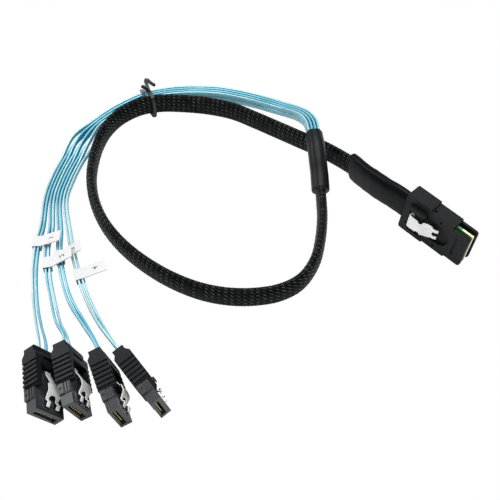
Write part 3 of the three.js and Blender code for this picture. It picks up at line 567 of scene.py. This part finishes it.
BUNDLE_ROUTE = [
    (-66.35, 0.05, 15.9), (-72.5, 5.0, 15.2), (-80.5, 9.4, 12.2), (-89.5, 12.2, 8.2), (-99.5, 13.2, 4.4),
    (-110.5, 12.0, 2.1), (-122.5, 7.6, 1.5), (-134.5, 0.8, 1.5), (-145.5, -9.4, 1.6), (-152.2, -19.8, 2.4),
    (-156.2, -30.6, 3.2), (-158.6, -40.5, 2.6), (-159.9, -50.5, 1.6), (-158.8, -61.4, 1.5),
    (-154.2, -73.0, 1.5), (-147.7, -85.2, 1.6), (-140.4, -96.2, 1.6), (-132.2, -106.0, 1.6),
]
LEG_ROUTES = [
    [(-122.0, -121.0, 1.6), (-114.4, -128.8, 2.2), (-102.7, -138.6, 2.2),
     (-88.1, -148.4, 2.4), (-75.5, -155.0, 5.4)],
    [(-117.6, -119.2, 1.6), (-109.0, -127.6, 2.2), (-96.0, -136.2, 1.9),
     (-82.3, -143.4, 2.6), (-69.8, -149.2, 5.6)],
    [(-114.0, -117.0, 1.6), (-104.2, -124.4, 2.2), (-91.9, -131.8, 2.0),
     (-77.8, -138.0, 2.8), (-60.6, -142.6, 6.2)],
    [(-110.6, -114.4, 1.6), (-99.8, -120.4, 2.2), (-84.6, -127.8, 2.2),
     (-70.4, -133.4, 3.0), (-56.0, -138.0, 6.2)],
]


@dataclass
class DrivePose:
    """Where a drive plug lies: its origin on the table, its heading and its roll in degrees."""

    x: float
    y: float
    heading: float
    roll: float
    width: float = 15.2
    thickness: float = 7.2

    def matrix(self) -> Matrix:
        """The plug's placement in millimetres.

        Returns:
            A matrix from the plug's own axes to the frame's.
        """
        roll = math.radians(self.roll)
        height = self.width / 2 * math.cos(roll) + self.thickness / 2 * math.sin(roll)
        turn = Matrix.Rotation(math.radians(self.heading), 4, "Z") @ Matrix.Rotation(roll, 4, "X")
        return Matrix.Translation((self.x, self.y, height)) @ turn


DRIVE_POSES = [
    DrivePose(-58.2, -164.3, -32.6, 34.7), DrivePose(-52.5, -156.3, -28.5, 20.6),
    DrivePose(-40.7, -149.1, -22.4, 14.3), DrivePose(-35.0, -142.0, -8.0, 14.1),
]


@dataclass
class Sleeve:
    """The flat braided sleeve: a dark core under strands that cross over and under each other."""

    width: float = 11.0
    thickness: float = 4.8
    strands: int = 16
    turn: float = 42.0
    strand_width: float = 1.25
    weave: float = 0.17
    proud: float = 0.12
    margin: float = 0.1
    core_gap: float = 0.25
    edge_sharpness: float = 2.5
    route: Route = field(init=False)
    hands: list = field(init=False)

    def build(self) -> bpy.types.Object:
        """Make the core and the two hands of strands.

        Returns:
            The core, which is the cord.
        """
        route = Route(SLEEVE_ROUTE, 1.2)
        inset = 2 * (self.weave + self.core_gap)
        section = oval(self.thickness - inset, self.width - inset, 24)
        vertices, faces, uv = route.tube(section)
        core = make_piece("sleeve_core", vertices, faces, SLEEVE_CORE, uv=uv)
        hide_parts("braided_sleeve")
        self.route = route
        self.hands = [self._strands(1), self._strands(-1)]
        return core

    def _strands(self, hand: int) -> bpy.types.Object:
        """Make all strands that wind one way.

        Args:
            hand: 1 or -1, the way that they wind.

        Returns:
            The piece.
        """
        route = Route(SLEEVE_ROUTE, 0.75)
        stations = len(route.line)
        across = np.array([-0.5, -0.2, 0.2, 0.5])
        bow = np.array([-0.05, 0.03, 0.03, -0.05])
        number = np.arange(self.strands)
        phase = 2 * np.pi * (number[:, None] / self.strands + hand * route.along[None, :] / self.turn)
        # Each strand rises over one crossing strand and dips under the next: at a crossing the
        # cosine is 1 or -1, and the other hand has the opposite sign there
        weave = hand * self.weave * np.cos(self.strands * route.along * 2 * np.pi / self.turn)
        weave = np.broadcast_to(weave[None, :], phase.shape)
        half_side = self.thickness / 2 - self.weave - self.margin
        half_up = self.width / 2 - self.weave - self.margin
        # A strand covers the same share of a turn all round, so it spreads on the flat sides
        rim = np.pi * (half_side + half_up)
        width_angle = self.strand_width / rim * 2 * np.pi
        angle = phase[:, :, None] + across[None, None, :] * width_angle
        lift = weave[:, :, None] + bow[None, None, :] + self.proud
        side = (half_side + lift) * np.cos(angle)
        up = (half_up + lift) * np.sin(angle)
        vertices = (
            route.line[None, :, None, :]
            + side[..., None] * route.side[None, :, None, :]
            + up[..., None] * route.upright[None, :, None, :]
        )
        columns = len(across)
        s, i, j = np.meshgrid(number, np.arange(stations - 1), np.arange(columns - 1), indexing="ij")
        first = (s * stations + i) * columns + j
        quads = np.stack([first, first + 1, first + columns + 1, first + columns], axis=3)
        share = np.broadcast_to(across[None, None, :] + 0.5, side.shape)
        # V is 1 where the strand lies on top and 0 where it dips under; it sets how much painted glint a
        # strand gets, so strands that dip under get painted shade
        over = np.clip(0.5 + 0.5 * weave / self.weave, 0, 1)[:, :, None] ** self.edge_sharpness
        over = np.broadcast_to(over, side.shape)
        # The half unit puts the line's crest, a painted highlight, in the middle of the strand
        uv = np.stack([share + 0.5, over], axis=3).reshape(-1, 2)
        name = "braid_right_hand" if hand > 0 else "braid_left_hand"
        # One hand of strands gets the painted glint and the other the painted shade, standing in for how
        # the strands catch the light.
        finish = BRAID_PAINTED_GLINT if hand < 0 else BRAID_PAINTED_SHADE
        return make_piece(
            name, vertices.reshape(-1, 3), quads.reshape(-1, 4).tolist(), finish, uv=uv
        )


@dataclass
class ShrinkTube:
    """A heat-shrink tube with a thin rolled lip at each end and faint lumps where it grips."""

    node: str
    points: list
    side: float
    upright: float
    finish: Finish = SHRINK_TUBE
    squareness: float = 1.0
    lumps: float = 0.006
    lip_depth: float = 0.05
    lip_length: float = 0.25
    slow_wave: float = 0.42
    fast_wave: float = 0.97

    def build(self) -> bpy.types.Object:
        """Make the tube.

        Returns:
            The piece.
        """
        route = Route(self.points, 0.5)
        end = np.minimum(route.along, route.length - route.along)
        lip = 1 - self.lip_depth * np.exp(-end / self.lip_length)
        wave = np.sin(route.along * self.slow_wave) + 0.6 * np.sin(route.along * self.fast_wave + 1.0)
        lump = self.lumps * wave
        section = oval(self.side, self.upright, 40, self.squareness)
        vertices, faces, uv = route.tube(section, lip * (1 - self.lumps + lump * np.tanh(end)))
        name = f"{self.node}_look"
        piece = make_piece(name, vertices, faces, self.finish, uv=uv)
        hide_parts(self.node)
        return piece


@dataclass
class Ribbon:
    """One thin ribbon: two insulated cores side by side under a blue film."""

    leg: int
    upper: int
    width: float = 2 * RIBBON_HALF_WIDTH
    thickness: float = RIBBON_THICKNESS
    stack_pitch: float = 1.65
    spread_pitch: float = 3.1
    row_rise: float = 2.85
    spread_from: int = 14
    pair_pitch: float = RIBBON_PITCH
    entry: float = 1.9
    neck: float = 2.7
    last_lift: float = 1.3
    waist: float = 0.72
    route: Route = field(init=False)

    @property
    def name(self) -> str:
        """The CAD node's name."""
        return f"ribbon_{self.leg + 1}{'ab'[self.upper]}"

    @staticmethod
    def _outward(route: list, i: int) -> np.ndarray:
        """The level direction to the outer side of a route at one of its points.

        Args:
            route: The points.
            i: The point's number.

        Returns:
            A unit vector with no height.
        """
        before, after = np.array(route[max(i - 1, 0)]), np.array(route[min(i + 1, len(route) - 1)])
        run = (after - before)[:2]
        run = run / np.linalg.norm(run)
        return np.array([run[1], -run[0], 0.0])

    def points(self) -> list[tuple[float, float, float]]:
        """The points that the ribbon runs through.

        Returns:
            Points from the round shrink to the drive plug.
        """
        hand = 1 if self.upper else -1
        found = []
        for i, point in enumerate(BUNDLE_ROUTE):
            spread = min(max(i - self.spread_from + 1, 0), 1)
            drop = min(max(i - self.spread_from, 0), 1)
            pitch = self.stack_pitch + (self.spread_pitch - self.stack_pitch) * spread
            offset = (1.5 - self.leg) * pitch + hand * self.spread_pitch / 4 * spread
            rise = self.upper * self.row_rise * (1 - drop)
            found.append(np.array(point) + self._outward(BUNDLE_ROUTE, i) * offset + [0, 0, rise])
        route = LEG_ROUTES[self.leg]
        for i, point in enumerate(route):
            rise = hand * self.last_lift if i == len(route) - 1 else 0
            offset = hand * self.pair_pitch / 2
            found.append(np.array(point) + self._outward(route, i) * offset + [0, 0, rise])
        place = DRIVE_POSES[self.leg].matrix()
        for back in (6.0, 0.0):
            found.append(np.array(place @ Vector((-self.neck - back, 0, hand * self.entry))))
        return [tuple(p) for p in found]

    def section(self) -> np.ndarray:
        """The section: two round lobes, with a waist between them.

        Returns:
            Pairs of side and upright offsets.
        """
        radius = self.thickness / 2
        centre = self.width / 2 - radius
        height = self.width / 2 * np.cos(np.linspace(0, np.pi, 13))
        bulge = np.sqrt(np.maximum(radius**2 - (np.abs(height) - centre) ** 2, 0))
        half = np.where(np.abs(height) < centre, np.maximum(bulge, radius * self.waist), bulge)
        right = np.stack([half, height], axis=1)
        left = np.stack([-half, height], axis=1)[1:-1][::-1]
        return np.vstack([left, right])[::-1]

    def build(self) -> bpy.types.Object:
        """Make the ribbon.

        Returns:
            The piece.
        """
        route = Route(self.points(), 1.0)
        vertices, faces, uv = route.tube(self.section())
        film = PALE_FILM if self.name in PALE_RIBBONS else RIBBON_FILM
        piece = make_piece(f"{self.name}_look", vertices, faces, film, uv=uv)
        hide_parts(self.name)
        self.route = route
        return piece


@dataclass
class Label:
    """A paper flag round a ribbon pair, with a plain number.

    The place along the leg is in spans of its route, and the lift is the flag's slope in degrees.
    """

    number: int
    along: float
    flag: float
    lift: float
    wrap: float = 0.3
    paper: float = 0.25
    reach_share: float = 0.55
    number_size: float = 3.4

    def build(self) -> list[bpy.types.Object]:
        """Make the flag and its number.

        Returns:
            The paper and the number.
        """
        node = f"label_{self.number}"
        paper = dressed_copy(node, LABEL_PAPER, BODY_CABLE, 0.04)
        return [paper, self._digit()]

    def _digit(self) -> bpy.types.Object:
        """Write the number on the flag's upper face.

        Returns:
            The number's mesh.
        """
        route = LEG_ROUTES[self.number - 1]
        line = Route(route, 0.25)
        spans = np.linalg.norm(np.diff(np.array(route), axis=0), axis=1)
        whole = int(self.along)
        part = (self.along - whole) * (spans[whole] if whole < len(spans) else 0)
        goal = spans[:whole].sum() + part
        i = int(np.argmin(np.abs(line.along - goal * line.length / spans.sum())))
        ahead = Vector((*line.ahead[i][:2], 0)).normalized()
        up = Vector((0, 0, 1))
        inner = up.cross(ahead)
        text = bpy.data.curves.new(f"number_{self.number}", "FONT")
        text.body = str(self.number)
        text.size = self.number_size
        text.align_x = "CENTER"
        text.align_y = "CENTER"
        text.extrude = 0.01
        holder = bpy.data.objects.new("text", text)
        bpy.context.collection.objects.link(holder)
        bpy.context.view_layer.update()
        solid = holder.evaluated_get(bpy.context.evaluated_depsgraph_get())
        mesh = bpy.data.meshes.new_from_object(solid)
        bpy.data.objects.remove(holder)
        lift = math.radians(self.lift)
        slope = inner * math.cos(lift) + up * math.sin(lift)
        normal = (up * math.cos(lift) - inner * math.sin(lift)).normalized()
        outward = self.flag * self.reach_share
        reach = RIBBON_PITCH / 2 + RIBBON_THICKNESS / 2 + self.wrap + outward
        rise = RIBBON_HALF_WIDTH + self.wrap + self.paper + outward * math.tan(lift)
        centre = Vector(line.line[i]) + inner * reach + up * rise + normal * 0.03
        turn = Matrix((slope.cross(normal) * -1, slope, normal)).transposed().to_4x4()
        mesh.transform(Matrix.Scale(MILLIMETRE, 4) @ Matrix.Translation(centre) @ turn)
        mesh.materials.clear()
        mesh.materials.append(LABEL_INK.material())
        piece = bpy.data.objects.new(f"number_{self.number}_look", mesh)
        bpy.context.collection.objects.link(piece)
        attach(piece, BODY_CABLE)
        return piece


@dataclass
class HostPlug:
    """The wide plug: two shells, a card with gold pads, a mould and a steel latch."""

    middle: float = HOST_MIDDLE
    card_front: float = 26.6
    card_rear: float = 3.3
    card_half: float = 8.2
    card_thickness: float = 1.0
    pad_count: int = 18
    pad_pitch: float = 0.8
    pad_width: float = 0.52
    pad_length: float = 4.6
    pad_height: float = 0.06
    pad_setback: float = 0.3
    rim_length: float = 5.6
    rim_depth: float = 0.05
    rim_height: float = 0.03
    rounding: float = 0.22

    def build(self) -> None:
        """Make every piece of the plug."""
        dressed_copy("host_plug_near_shell", HOST_PLASTIC, BODY_CABLE, self.rounding)
        dressed_copy("host_plug_back_shell", HOST_PLASTIC, BODY_CABLE, self.rounding)
        dressed_copy("host_plug_inner_mould", DULL_MOULD, BODY_CABLE, 0.15)
        dressed_copy("host_plug_latch", LATCH_STEEL, "host_latch", 0.06)
        self._card()

    def _card(self) -> None:
        """Make the green card, its gold pads on both sides and its pale gold rim."""
        half = self.card_thickness / 2
        boxes = [((self.card_rear, -half, self.middle - self.card_half),
                  (self.card_front - self.rim_depth, half, self.middle + self.card_half))]
        vertices, faces = box_mesh(boxes, host_place())
        card = make_piece("host_card_look", vertices, faces, GREEN_BOARD, smooth=False)
        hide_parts("host_plug_card")
        pads = []
        front = self.card_front - self.pad_setback
        for i in range(self.pad_count):
            z = self.middle + (i - (self.pad_count - 1) / 2) * self.pad_pitch
            for low, high in ((-half - self.pad_height, -half), (half, half + self.pad_height)):
                pads.append(((front - self.pad_length, low, z - self.pad_width / 2),
                             (front, high, z + self.pad_width / 2)))
        vertices, faces = box_mesh(pads, host_place())
        make_piece("host_pads_look", vertices, faces, GOLD_PLATE, smooth=False)
        low, high = self.middle - self.card_half, self.middle + self.card_half
        proud = half + self.rim_height
        front = self.card_front + self.rim_height
        rim = [
            ((self.card_front - self.rim_length, -proud, z - self.rim_height),
             (front, proud, z + self.rim_depth))
            for z in (low, high)
        ]
        rim.append(((self.card_front - self.rim_depth, -proud, low), (front, proud, high)))
        vertices, faces = box_mesh(rim, host_place())
        make_piece("host_card_rim_look", vertices, faces, PALE_GOLD, smooth=False)


def box_mesh(boxes: list, place: Matrix) -> tuple[np.ndarray, list]:
    """Corners and faces of separate boxes, in the frame.

    Args:
        boxes: Pairs of lowest and highest corner, in a plug's own axes.
        place: The plug's placement.

    Returns:
        Corners and faces.
    """
    pairs = np.array(boxes, float)
    pick = np.array([[i >> 2 & 1, i >> 1 & 1, i & 1] for i in range(8)])
    vertices = np.where(pick[None, :, :] == 1, pairs[:, 1:2, :], pairs[:, 0:1, :]).reshape(-1, 3)
    sides = np.array([[0, 1, 3, 2], [4, 6, 7, 5], [0, 4, 5, 1], [2, 3, 7, 6], [0, 2, 6, 4], [1, 5, 7, 3]])
    faces = (sides[None, :, :] + 8 * np.arange(len(pairs))[:, None, None]).reshape(-1, 4)
    turn = np.array(place)
    return vertices @ turn[:3, :3].T + turn[:3, 3] + ORIGIN_SHIFT, faces.tolist()


@dataclass
class DrivePlug:
    """One drive plug: hood, receptacle, contacts and a steel latch."""

    number: int
    rounding: float = 0.2

    def build(self) -> None:
        """Make every piece of the plug."""
        name = f"drive_plug_{self.number}"
        dressed_copy(f"{name}_hood", HOOD_PLASTIC, BODY_CABLE, self.rounding)
        dressed_copy(f"{name}_receptacle", NOSE_PLASTIC, BODY_CABLE, 0.12)
        dressed_copy(f"{name}_contacts", GOLD_PLATE, BODY_CABLE, 0.04)
        # The latch's near-white finish is a painted reflection.
        dressed_copy(f"{name}_latch", SPRING_STEEL_PAINTED_REFLECTION, f"drive_latch_{self.number}", 0.05)


@dataclass
class Studio:
    """Camera, floor and lights."""

    eye: tuple[float, float, float] = (0.13782, -0.1381, 0.26943)
    goal: tuple[float, float, float] = (-0.02779, 0.02751, 0.0)
    lens: float = 57.6
    sky: float = 0.38

    def camera(self) -> None:
        """Make the camera."""
        data = bpy.data.cameras.new("camera")
        data.lens = self.lens
        data.sensor_width = 36.0
        data.clip_start = 0.01
        data.clip_end = 10.0
        eye = bpy.data.objects.new("camera", data)
        bpy.context.collection.objects.link(eye)
        eye.location = self.eye
        aim = Vector(self.goal) - Vector(self.eye)
        eye.rotation_mode = "QUATERNION"
        eye.rotation_quaternion = aim.to_track_quat("-Z", "Y")
        bpy.context.scene.camera = eye

    def floor(self) -> None:
        """Make a floor that the camera sees as plain white."""
        mesh = bpy.data.meshes.new("floor")
        side, drop = 3, -0.0004
        corners = [(-side, -side, drop), (side, -side, drop), (side, side, drop), (-side, side, drop)]
        mesh.from_pydata(corners, [], [(0, 1, 2, 3)])
        floor = bpy.data.objects.new("floor", mesh)
        bpy.context.collection.objects.link(floor)
        material = bpy.data.materials.new("Floor")
        material.use_nodes = True
        tree = material.node_tree
        tree.nodes.clear()
        out = tree.nodes.new("ShaderNodeOutputMaterial")
        mix = tree.nodes.new("ShaderNodeMixShader")
        path = tree.nodes.new("ShaderNodeLightPath")
        white = tree.nodes.new("ShaderNodeEmission")
        white.inputs["Color"].default_value = (1.0, 1.0, 1.0, 1.0)
        white.inputs["Strength"].default_value = 1.0
        cloth = tree.nodes.new("ShaderNodeBsdfDiffuse")
        cloth.inputs["Color"].default_value = (0.85, 0.85, 0.85, 1.0)
        tree.links.new(path.outputs["Is Camera Ray"], mix.inputs["Fac"])
        tree.links.new(cloth.outputs["BSDF"], mix.inputs[1])
        tree.links.new(white.outputs["Emission"], mix.inputs[2])
        tree.links.new(mix.outputs["Shader"], out.inputs["Surface"])
        mesh.materials.append(material)

    def light(self, name: str, at: tuple, goal: tuple, size: float, power: float) -> None:
        """Add a square soft light.

        Args:
            name: The light's name.
            at: Its place in metres.
            goal: The point that it faces.
            size: Its side in metres.
            power: Its power in watts.
        """
        data = bpy.data.lights.new(name, "AREA")
        data.size = size
        data.energy = power
        lamp = bpy.data.objects.new(name, data)
        bpy.context.collection.objects.link(lamp)
        lamp.location = at
        lamp.rotation_mode = "QUATERNION"
        lamp.rotation_quaternion = (Vector(goal) - Vector(at)).to_track_quat("-Z", "Y")

    def build(self) -> None:
        """Make the floor, the lights and the surroundings."""
        self.floor()
        middle = (-0.03, 0.02, 0.0)
        self.light("overhead", (-0.13, 0.19, 0.75), middle, size=0.6, power=6.6)
        self.light("front", (0.47, -0.66, 0.5), middle, size=0.5, power=2.8)
        self.light("left", (-0.68, -0.26, 0.4), middle, size=0.4, power=2.5)
        world = bpy.data.worlds.new("Surroundings")
        world.use_nodes = True
        tree = world.node_tree
        sky = tree.nodes["Background"]
        sky.inputs["Color"].default_value = (1.0, 1.0, 1.0, 1.0)
        sky.inputs["Strength"].default_value = self.sky
        # The camera sees plain white past the floor's edge, and the part is lit by the dimmer sky
        backdrop = tree.nodes.new("ShaderNodeBackground")
        backdrop.inputs["Color"].default_value = (1.0, 1.0, 1.0, 1.0)
        path = tree.nodes.new("ShaderNodeLightPath")
        mix = tree.nodes.new("ShaderNodeMixShader")
        tree.links.new(path.outputs["Is Camera Ray"], mix.inputs["Fac"])
        tree.links.new(sky.outputs["Background"], mix.inputs[1])
        tree.links.new(backdrop.outputs["Background"], mix.inputs[2])
        tree.links.new(mix.outputs["Shader"], tree.nodes["World Output"].inputs["Surface"])
        bpy.context.scene.world = world
        bpy.context.scene.view_settings.view_transform = "Standard"


@dataclass
class Cable:
    """The whole cable."""

    sleeve: Sleeve = field(default_factory=Sleeve)
    host: HostPlug = field(default_factory=HostPlug)

    def cords(self) -> None:
        core = self.sleeve.build()
        flat = ShrinkTube("flat_shrink", FLAT_SHRINK_ROUTE, side=5.2, upright=15.0,
                          finish=FLAT_TUBE, squareness=0.7, lumps=0.01).build()
        bundle = ShrinkTube("round_shrink", ROUND_SHRINK_ROUTE, side=8.5, upright=8.5).build()
        tie = dressed_copy("twist_tie", TIE_PLASTIC, BODY_CABLE, 0.1)
        thicken(tie, TIE_GROWTH)
        labels = [
            Label(1, along=1.0, flag=9, lift=22), Label(2, along=1.6, flag=9.5, lift=26),
            Label(3, along=1.3, flag=8, lift=30), Label(4, along=1.9, flag=10, lift=8),
        ]
        for label in labels:
            paper = label.build()
            for upper in (0, 1):
                ribbon = Ribbon(label.number - 1, upper)
                piece = ribbon.build()

    def plugs(self) -> None:
        """Make the host plug and the four drive plugs."""
        self.host.build()
        for number in (1, 2, 3, 4):
            DrivePlug(number).build()


def main() -> None:
    """Build the scene."""
    logging.basicConfig(level=logging.INFO, format="%(name)s: %(message)s")
    LOADED.update(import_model())
    studio = Studio()
    studio.camera()
    cable = Cable()
    cable.cords()
    cable.plugs()
    studio.build()


if __name__ == "__main__":
    main()
